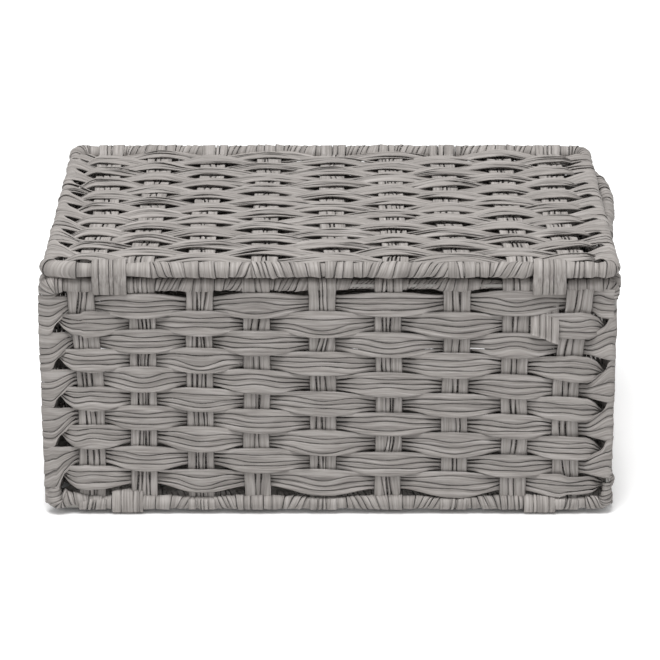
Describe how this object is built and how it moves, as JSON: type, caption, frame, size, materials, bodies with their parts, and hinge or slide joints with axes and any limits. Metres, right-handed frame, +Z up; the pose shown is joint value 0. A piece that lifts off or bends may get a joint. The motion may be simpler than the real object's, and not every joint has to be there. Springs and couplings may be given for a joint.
{
  "type": "folding storage basket",
  "caption": "Lidded box basket woven of flat paper strand on wire frames, whose tied walls shear flat and whose base and lid swing on strand loops.",
  "frame": {"origin": "on the ground, under the middle of the closed basket", "axes": "+Z up, +X to the right along the wall that carries the lid, which is at -Y; the lid opens at +Y"},
  "size_m": [0.35, 0.2401, 0.1644],
  "materials": {
    "paper_strand": "matte flat paper strand, creased lengthwise, dyed warm grey",
    "steel_wire": "drawn steel wire, dull"
  },
  "bodies": {
    "hinge_wall": {"hinge_wall_wire": "steel_wire", "hinge_wall_stakes": "paper_strand", "hinge_wall_weaver": "paper_strand", "lid_loop_left": "paper_strand", "lid_loop_right": "paper_strand", "base_loop_left": "paper_strand", "base_loop_right": "paper_strand", "tie_hinge_left_top": "paper_strand", "tie_hinge_left_low": "paper_strand", "tie_hinge_right_top": "paper_strand", "tie_hinge_right_low": "paper_strand"},
    "lid": {"lid_wire": "steel_wire", "lid_stakes": "paper_strand", "lid_weaver": "paper_strand"},
    "base": {"base_wire": "steel_wire", "base_stakes": "paper_strand", "base_weaver": "paper_strand"},
    "left_end": {"left_end_wire": "steel_wire", "left_end_stakes": "paper_strand", "left_end_weaver": "paper_strand"},
    "right_end": {"right_end_wire": "steel_wire", "right_end_stakes": "paper_strand", "right_end_weaver": "paper_strand"},
    "open_wall": {"open_wall_wire": "steel_wire", "open_wall_stakes": "paper_strand", "open_wall_weaver": "paper_strand", "tie_open_left_top": "paper_strand", "tie_open_left_low": "paper_strand", "tie_open_right_top": "paper_strand", "tie_open_right_low": "paper_strand"}
  },
  "joints": [
    {"name": "lid_hinge", "type": "hinge", "parent": "hinge_wall", "child": "lid", "pos_m": [0, -0.11529, 0.1595], "axis": [1, 0, 0], "range_deg": [0, 210]},
    {"name": "base_hinge", "type": "hinge", "parent": "hinge_wall", "child": "base", "pos_m": [0, -0.10508, 0.00471], "axis": [1, 0, 0], "range_deg": [-90, 0]},
    {"name": "fold", "type": "hinge", "parent": "hinge_wall", "child": "left_end", "pos_m": [-0.17029, -0.10508, 0.08], "axis": [0, 0, 1], "range_deg": [-90, 0]},
    {"name": "fold_right_end", "type": "hinge", "parent": "hinge_wall", "child": "right_end", "pos_m": [0.17029, -0.10508, 0.08], "axis": [0, 0, 1], "range_deg": [-90, 0]},
    {"name": "fold_open_wall", "type": "hinge", "parent": "left_end", "child": "open_wall", "pos_m": [-0.17029, 0.10508, 0.08], "axis": [0, 0, 1], "range_deg": [0, 90]}
  ],
  "couplings": [
    {"joint": "fold_right_end", "follows": "fold", "ratio": 1},
    {"joint": "fold_open_wall", "follows": "fold", "ratio": -1}
  ]
}
